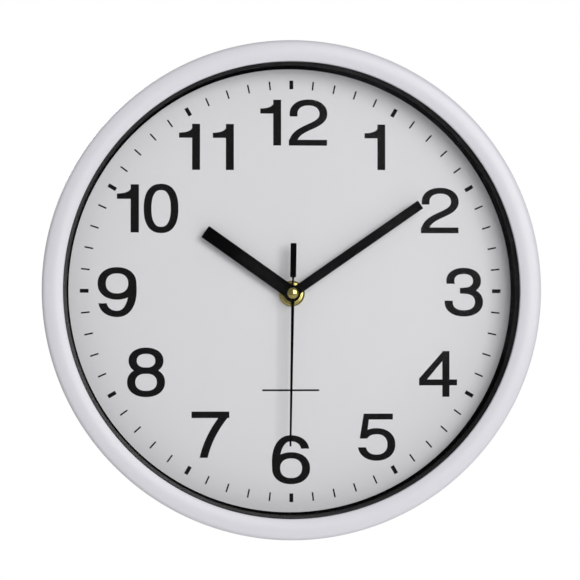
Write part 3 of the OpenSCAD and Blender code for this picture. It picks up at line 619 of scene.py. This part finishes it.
# Each digit's width and outline, in mm for a 23 mm capital, from its lower left corner
DIGITS = {
    "0": (16.4, pen(bow(8.2, 11.5, 6.5, 10.38, 0, 360, 2.4, 90), stem=1.72)),
    "1": (10.35, [
        box(6.6, 10.35, 0, CAP),
        [(0, 16.2), (6.6, 16.2), (10.35, 16.2), (10.35, CAP)]
        + curve((7.4, CAP), (6.9, 19.6), (4.4, 18.7), (0, 18.5)),
    ]),
    "2": (19.3, pen(bow(9.95, 15.9, 7.6, 5.92, 200, 0), low=14.8)
          + pen(curve((17.55, 16.0), (17.55, 8.75), (2.13, 10.0), (1.95, 0.5)), low=0)
          + [box(0.06, 19.3, 0, 2.7)]),
    "3": (18.5, pen(bow(8.93, 17.08, 6.6, 4.88, -90, 215), low=15.7, high=99)
          + pen(bow(8.93, 17.08, 6.6, 4.88, -90, 0))
          + pen(bow(9.0, 6.66, 7.5, 5.6, 90, -215), low=-9, high=7.24)
          + pen(bow(9.0, 6.66, 7.5, 5.6, 90, 0))
          + [box(7.2, 9.6, 10.95, 13.5)]),
    "4": (19.2, [
        box(11.9, 15.3, 0, CAP), box(0, 19.2, 5.8, 8.55),
        [(0, 5.8), (3.65, 5.8), (3.65, 8.55), (11.9, 18.4), (15.3, CAP), (12.3, CAP), (0, 9.1)],
    ]),
    "5": (18.6, [
        box(2.9, 17.35, 20.3, CAP),
        [(0.95, 10.75), (3.9, 10.75), (4.45, 13.95), (5.3, 20.3), (5.3, CAP), (2.9, CAP)],
    ] + pen(bow(9.25, 7.7, 7.45, 6.62, 158, -30), low=-9, high=99)[2:]
      + pen(bow(9.25, 7.7, 7.45, 6.62, -25, -200), high=6.15)),
    "6": (18.7, six()),
    "7": (18.8, [box(0, 18.8, 20.0, CAP)]
          + pen(curve((16.9, 21.4), (12.07, 15.6), (7.77, 8.05), (5.9, -0.6)), low=0, high=CAP)),
    "8": (18.15, pen(bow(9.05, 17.27, 6.48, 4.85, 0, 360, steps=72))
          + pen(bow(9.08, 6.81, 7.22, 5.68, 0, 360, steps=72))),
    "9": (18.7, half_turned(six(), 18.7, CAP)),
}

# Gap after the first digit of each number of two digits
GAPS = {10: 2.6, 11: 6.7, 12: 4.1}

# Each number: its middle on the dial, and how tall its capitals are
NUMBERS = {
    12: (1.5, 85.2, 23.0), 1: (42.9, 72.9, 22.9), 2: (76.0, 40.7, 22.7), 3: (88.6, -0.8, 23.8),
    4: (75.1, -42.4, 23.0), 5: (43.7, -74.3, 23.3), 6: (0.1, -85.8, 23.6), 7: (-40.7, -73.0, 23.1),
    8: (-73.2, -41.6, 23.9), 9: (-87.8, -0.9, 24.0), 10: (-72.5, 41.4, 24.1), 11: (-42.8, 72.7, 23.1),
}
PRINT_CENTRE = (0.3, -0.3)
TICK_RING = 104.7
TICK_L = 4.4
HOUR_TICK_W = 1.95
MINUTE_TICK_W = 0.78
RULE_L = 29.0
RULE_W = 0.9
RULE_Y = -50.6


def number_outline(number):
    """The outlines of a whole number, placed on the dial."""
    x0, y0, cap = NUMBERS[number]
    scale, text = cap / CAP, str(number)
    width = sum(DIGITS[d][0] for d in text) + (GAPS[number] if len(text) > 1 else 0)
    out, left = [], -width / 2
    for digit in text:
        w, polygons = DIGITS[digit]
        for polygon in polygons:
            placed = [(x0 + (left + x) * scale, y0 + (y - CAP / 2) * scale) for x, y in polygon]
            out.append(grown(placed, INK_SPREAD))
        left += w + GAPS.get(number, 0)
    return out


def dial_print():
    top = DIAL_FRONT + INK_T
    for number in NUMBERS:
        piece(f"numeral_{number}", slab(number_outline(number), DIAL_FRONT, top), "root", INK)
    tick = {}
    for minute in range(60):
        width = MINUTE_TICK_W if minute % 5 else HOUR_TICK_W
        bar = box(-width / 2, width / 2, TICK_RING - TICK_L / 2, TICK_RING + TICK_L / 2)
        tick.setdefault(width, []).append(clockwise(rounded(bar, 0.08, 2), minute * 6, PRINT_CENTRE))
    piece("hour_ticks", slab(tick[HOUR_TICK_W], DIAL_FRONT, top), "root", INK)
    piece("minute_ticks", slab(tick[MINUTE_TICK_W], DIAL_FRONT, top), "root", INK)
    rule = rounded(box(-RULE_L / 2, RULE_L / 2, RULE_Y - RULE_W / 2, RULE_Y + RULE_W / 2), 0.25)
    piece("printed_rule", slab([rule], DIAL_FRONT, top), "root", INK)


# ---- Hands ----

HAND_T = 0.4
HUB_R = 4.0
HAND_CORNER_R = 0.35
HOUR_PIPE_R = 2.5
MINUTE_PIPE_R = 1.6
SECONDS_R = 0.5
COLLAR_T = 0.8
SECOND_COLLAR_T = 0.6
SECOND_ROOT_W = 1.6
# Widens each side of the needle, whose thin dark edges soften away when rendered
NEEDLE_SPREAD = 0.12
TAIL_NECK_W = 1.0
TAIL_L = 25.3
WEIGHT_W = 3.0
WEIGHT_L = 17.3
WEIGHT_CORNER_R = 0.5
HAND_BEVEL = 0.09
NEEDLE_BEVEL = 0.07


def hand_line(node):
    """A CAD hand's length, its width at the tip and the degrees clockwise from twelve at which it points."""
    obj = frame["nodes"][node]
    spots = [obj.matrix_world @ v.co / MM for v in obj.data.vertices]
    spots = [(p.x - SHAFT[0], p.z - SHAFT[1]) for p in spots]
    far = max(x * x + y * y for x, y in spots)
    ends = [(x, y) for x, y in spots if x * x + y * y > far - 1]
    x, y = (sum(p[k] for p in ends) / len(ends) for k in (0, 1))
    length = sqrt(x * x + y * y)
    return length, 2 * sqrt(far - length * length), degrees(atan2(x, y))


def collared_hand(node, body, bars, pipe_r, collar_t):
    """A flat hand: bars laid one over another, a round hub and a collar behind it that grips its pipe."""
    low, top = reach(node)[2]
    back = top - HAND_T
    bm = slab(bars + [disc(SHAFT, HUB_R, 96)], back, top, [disc(SHAFT, pipe_r, 48)])
    collar = box(pipe_r, pipe_r + collar_t, low, back)
    add_lathe(bm, rounded(collar, 0.1), SHAFT, 48)
    return piece(node + "_blade", bm, body, LOOKS["hand_black"], [node])


def hands():
    pipes = (("hour_hand", "hours", HOUR_PIPE_R), ("minute_hand", "minutes", MINUTE_PIPE_R))
    for node, body, pipe_r in pipes:
        length, width, angle = hand_line(node)
        bar = clockwise(rounded(box(-width / 2, width / 2, 0, length), HAND_CORNER_R), angle, SHAFT)
        bevel(collared_hand(node, body, [bar], pipe_r, COLLAR_T), HAND_BEVEL)
    length, tip_w, angle = hand_line("second_hand")
    root, tip = SECOND_ROOT_W / 2, tip_w / 2 + NEEDLE_SPREAD
    blade = [(-root, 0), (root, 0), (tip, length), (-tip, length)]
    neck = box(-TAIL_NECK_W / 2, TAIL_NECK_W / 2, -TAIL_L, 0)
    weight = rounded(box(-WEIGHT_W / 2, WEIGHT_W / 2, -TAIL_L, WEIGHT_L - TAIL_L), WEIGHT_CORNER_R)
    bars = [clockwise(p, angle, SHAFT) for p in (blade, neck, weight)]
    bevel(collared_hand("second_hand", "seconds", bars, SECONDS_R, SECOND_COLLAR_T), NEEDLE_BEVEL)


# ---- Shaft furniture ----

NUT_BORE_R = 3.92
CAP_SIDE_H = 0.35


def shaft_pieces():
    r = radius_of("sleeve_nut")
    low, top = reach("sleeve_nut")[2]
    nut = rounded([
        (NUT_BORE_R, low), (r, low), (r, top - 1.2), (r - 1, top - 0.4), (r - 1.6, top - 0.4), (r - 1.8, top),
        (NUT_BORE_R, top),
    ], 0.18)
    piece("nut_turned", lathe(nut, SHAFT, 128), "root", LOOKS["brass"], ["sleeve_nut"])
    low, top = reach("second_hand_cap")[2]
    r = radius_of("second_hand_cap")
    rise = top - low - CAP_SIDE_H
    crown = [(r * cos(radians(a)), low + CAP_SIDE_H + rise * sin(radians(a))) for a in range(0, 90, 6)]
    dome = [(0, low), (r, low)] + crown + [(0, top)]
    piece("shaft_cap", lathe(dome, SHAFT, 96), "seconds", LOOKS["brass"], ["second_hand_cap"],
          sharp=50)


# ---- Battery ----

BUTTON_R = 2.7
BUTTON_H = 1.0


def lay_along_x(bm, centre):
    """Turns a shape that stands on the dial so that it lies along x, about a centre (y, h)."""
    for v in bm.verts:
        x, y, h = v.co
        v.co = (h, centre[0] + y, centre[1] - x)
    return bm


def battery_pieces():
    (foot, tip), y, h = reach("battery")
    centre = (middle(y), middle(h))
    can_r = (y[1] - y[0]) / 2
    button_r = BUTTON_R
    shoulder = tip - BUTTON_H
    can = rounded([
        (0, foot + 0.25), (4.4, foot + 0.25), (4.7, foot), (can_r, foot), (can_r, shoulder), (4.4, shoulder),
        (4.2, shoulder - 0.35), (button_r + 0.3, shoulder - 0.35), (button_r, shoulder), (button_r, tip),
        (0, tip),
    ], 0.35)
    piece("battery_can", lay_along_x(lathe(can, segments=128), centre), "cell", LOOKS["battery_metal"],
          ["battery"])
    (start, end), y, h = reach("battery_sleeve")
    film_r = (y[1] - y[0]) / 2
    film = rounded([
        (can_r, start), (film_r, start), (film_r, end), (can_r, end),
    ], 0.05)
    wrap = lay_along_x(lathe(film, segments=128), centre)
    piece("battery_film", wrap, "cell", LOOKS["battery_film"], ["battery_sleeve"])


# ---- CAD nodes that stay as they are ----


def soften(node, width, segments=2):
    """Rounds the edges of a CAD node with modifiers, which leave its own mesh alone."""
    obj = frame["nodes"][node]
    weld = obj.modifiers.new("weld", "WELD")
    weld.merge_threshold = 1e-6
    flat = obj.modifiers.new("flatten", "DECIMATE")
    flat.decimate_type = "DISSOLVE"
    flat.angle_limit = radians(1)
    bevel(obj, width, segments)


def keep_cad_nodes():
    slots = {}
    for material in frame["record"]["materials"]:
        for node in material.get("nodes", []):
            slots[node] = material["slot"]
    for node, obj in frame["nodes"].items():
        name = slots.get(node) or obj.data.materials[0].name
        look = LOOKS[name.split(".")[0]]
        if not obj.material_slots:
            obj.data.materials.append(look)
        for slot in obj.material_slots:
            slot.material = look


# ---- Stage ----


FLOOR_Y = -650
FLOOR_HALF = 3500


def add_floor():
    """A low, pale floor with rounded edges, well below the clock."""
    edge = rounded([(0, FLOOR_Y), (FLOOR_HALF, FLOOR_Y), (FLOOR_HALF, FLOOR_Y - 40), (0, FLOOR_Y - 40)], 15)
    bm = bmesh.new()
    add_lathe(bm, edge, segments=64)
    for v in bm.verts:
        v.co = Vector(v.co) * MM
    mesh = bpy.data.meshes.new("floor")
    bm.to_mesh(mesh)
    bm.free()
    mesh.materials.append(finish("floor_paint", (238, 238, 238), 0.7, 0.01, 2, 60, 0.05, 0.2, 0.05))
    floor = bpy.data.objects.new("floor", mesh)
    bpy.context.scene.collection.objects.link(floor)


case_pieces()
back_cover()
dial_print()
hands()
shaft_pieces()
battery_pieces()
keep_cad_nodes()
for node in ("hanger_plate", "hanger_screws", "case_screws", "movement_case", "movement_cover",
             "setting_knob"):
    soften(node, 0.25)


def add_light(name, kind, place, energy, size, colour=(1, 1, 1)):
    data = bpy.data.lights.new(name, kind)
    data.energy = energy
    data.color = colour
    data.size = size
    obj = bpy.data.objects.new(name, data)
    obj.location = place
    obj.rotation_mode = "QUATERNION"
    obj.rotation_quaternion = (-Vector(place)).to_track_quat("-Z", "Y")
    bpy.context.scene.collection.objects.link(obj)
    return obj


def add_world(seen, ambient):
    """A white surround for the camera, and a dimmer one that lights the clock."""
    world = bpy.data.worlds.new("surround")
    world.use_nodes = True
    tree = world.node_tree
    tree.nodes.clear()
    path = add(tree, "ShaderNodeLightPath")
    lit = add(tree, "ShaderNodeBackground", {"Color": (*ambient, 1), "Strength": 1.0})
    shown = add(tree, "ShaderNodeBackground", {"Color": (*seen, 1), "Strength": 1.0})
    mix = add(tree, "ShaderNodeMixShader", {0: path.outputs["Is Camera Ray"], 1: lit.outputs[0],
                                           2: shown.outputs[0]})
    add(tree, "ShaderNodeOutputWorld", {0: mix.outputs[0]})
    bpy.context.scene.world = world


CAMERA_TARGET = (-0.0004, -0.02, 0.0002)
CAMERA_DISTANCE = 1.2
CAMERA_LEFT = 3.5
CAMERA_BELOW = 1.1
LENS = 146.9


def add_camera():
    data = bpy.data.cameras.new("camera")
    data.lens = LENS
    data.sensor_width = 36
    obj = bpy.data.objects.new("camera", data)
    target = Vector(CAMERA_TARGET)
    left, below = radians(CAMERA_LEFT), radians(CAMERA_BELOW)
    back = Vector((-sin(left), -cos(left), -sin(below))).normalized()
    obj.location = target + back * CAMERA_DISTANCE
    obj.rotation_mode = "QUATERNION"
    obj.rotation_quaternion = (-back).to_track_quat("-Z", "Y")
    bpy.context.scene.collection.objects.link(obj)
    bpy.context.scene.camera = obj


add_floor()
add_light("key", "AREA", (0.78, -1.95, 0.46), 26, 1.25)
add_light("under_fill", "AREA", (0.25, 0.2, -0.95), 10, 0.8)
add_light("back_fill", "AREA", (-1.2, 2.0, 1.2), 24, 1.2)
add_world((1, 1, 1), (0.29, 0.29, 0.3))
add_camera()
bpy.context.scene.view_settings.view_transform = "Standard"
